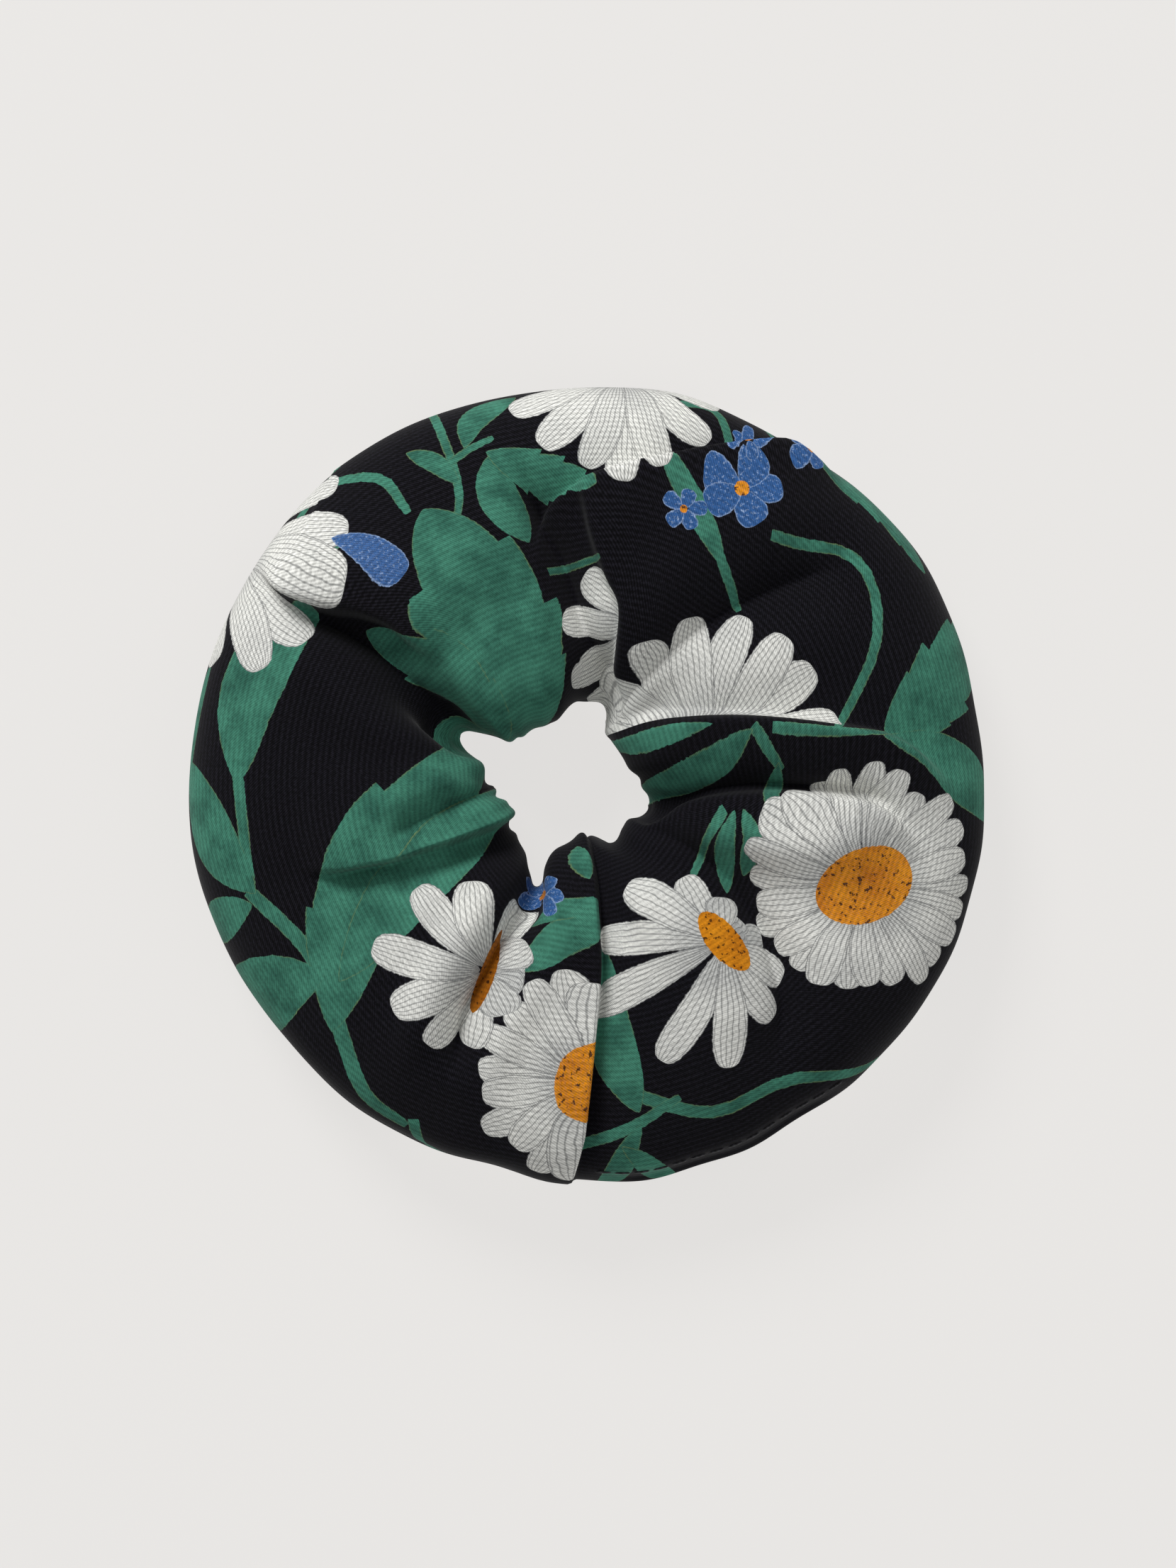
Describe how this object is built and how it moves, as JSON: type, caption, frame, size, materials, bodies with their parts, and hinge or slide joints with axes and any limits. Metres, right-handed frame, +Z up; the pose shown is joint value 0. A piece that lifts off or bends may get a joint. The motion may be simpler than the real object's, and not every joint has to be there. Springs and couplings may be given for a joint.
{
  "type": "scrunchie",
  "caption": "Gathered cloth hair scrunchie lying flat: a printed fabric tube with a long seam, a cross seam and an edge-stitched closing, round a loose lapped elastic loop.",
  "frame": {"origin": "centre of the ring on the plane that it lies on", "axes": "+Z up out of the ring, -Y towards the cross seam, +X to the right with the cross seam nearest"},
  "size_m": [0.112, 0.112, 0.022],
  "materials": {
    "printed_cloth": "matte twill, black ground with a leaf and flower print",
    "sewing_thread": "black spun polyester thread, slight sheen",
    "braided_elastic": "matte flat braid"
  },
  "bodies": {
    "cover": {"cover": "printed_cloth", "long_seam_stitch": "sewing_thread", "cross_seam_stitch": "sewing_thread", "closing_stitch": "sewing_thread"},
    "elastic": {"elastic_band": "braided_elastic", "elastic_join_stitch": "sewing_thread"}
  },
  "joints": [
    {"name": "elastic_turn", "type": "hinge", "parent": "cover", "child": "elastic", "pos_m": [-0.00361, -0.00108, 0.0105], "axis": [0, 0, 1], "continuous": true}
  ]
}
